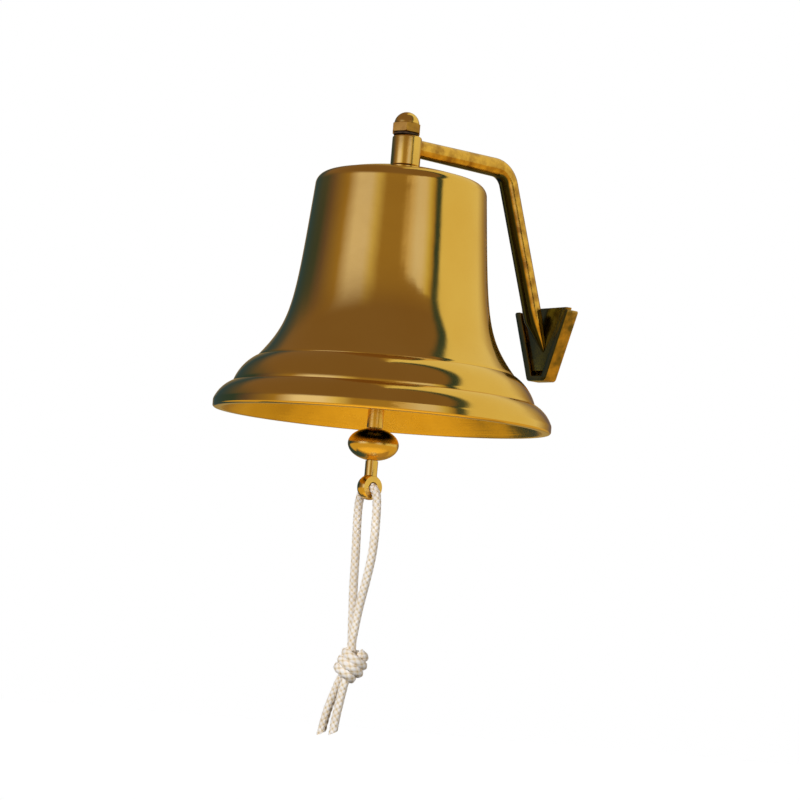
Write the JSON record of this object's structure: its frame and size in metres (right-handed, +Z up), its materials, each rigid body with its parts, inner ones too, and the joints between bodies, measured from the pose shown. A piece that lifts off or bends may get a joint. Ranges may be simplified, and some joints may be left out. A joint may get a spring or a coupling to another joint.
{
  "type": "ship bell",
  "caption": "Brass ship's bell on a wall bracket whose dovetail wedge lifts out of its wall plate, with a swinging clapper and a knotted bell rope.",
  "frame": {"origin": "centre of the wall plate's back face, which lies on the wall", "axes": "+Z up along the bell's axis, +Y into the wall, the bell hangs towards -Y"},
  "size_m": [0.1606, 0.1842, 0.2988],
  "materials": {
    "polished_brass": "mirror-polished and lacquered",
    "cast_brass": "lightly polished casting",
    "turned_brass": "turned and polished",
    "fibre_washer": "dull dark fibre",
    "braided_cord": "off-white braided cotton cord"
  },
  "bodies": {
    "wall_plate": {"wall_plate": "cast_brass"},
    "bracket": {"bracket_wedge": "cast_brass", "bracket_arm": "cast_brass", "bracket_boss": "turned_brass", "bell": "polished_brass", "crown_gasket": "fibre_washer", "nut_washer": "fibre_washer", "dome_nut": "turned_brass", "eye_bolt": "turned_brass", "inner_washer": "turned_brass", "inner_nut": "turned_brass"},
    "link": {"clapper_link": "turned_brass"},
    "clapper": {"clapper_rod": "turned_brass", "clapper_ball": "turned_brass", "clapper_tail": "turned_brass"},
    "rope": {"rope_strand_near": "braided_cord", "rope_strand_far": "braided_cord", "rope_knot": "braided_cord", "rope_tail_long": "braided_cord", "rope_tail_short": "braided_cord"}
  },
  "joints": [
    {"name": "bracket_lift", "type": "slide", "parent": "wall_plate", "child": "bracket", "axis": [0, 0, 1], "range_m": [0, 0.03]},
    {"name": "link_swing", "type": "hinge", "parent": "bracket", "child": "link", "pos_m": [0, -0.1077, 0.04077], "axis": [0, 1, 0], "range_deg": [-8, 8]},
    {"name": "clapper_swing", "type": "hinge", "parent": "link", "child": "clapper", "pos_m": [0, -0.1077, 0.02857], "axis": [1, 0, 0], "range_deg": [-35, 39]},
    {"name": "rope_swing", "type": "hinge", "parent": "clapper", "child": "rope", "pos_m": [0, -0.1077, -0.08085], "axis": [1, 0, 0], "range_deg": [-45, 45]}
  ]
}
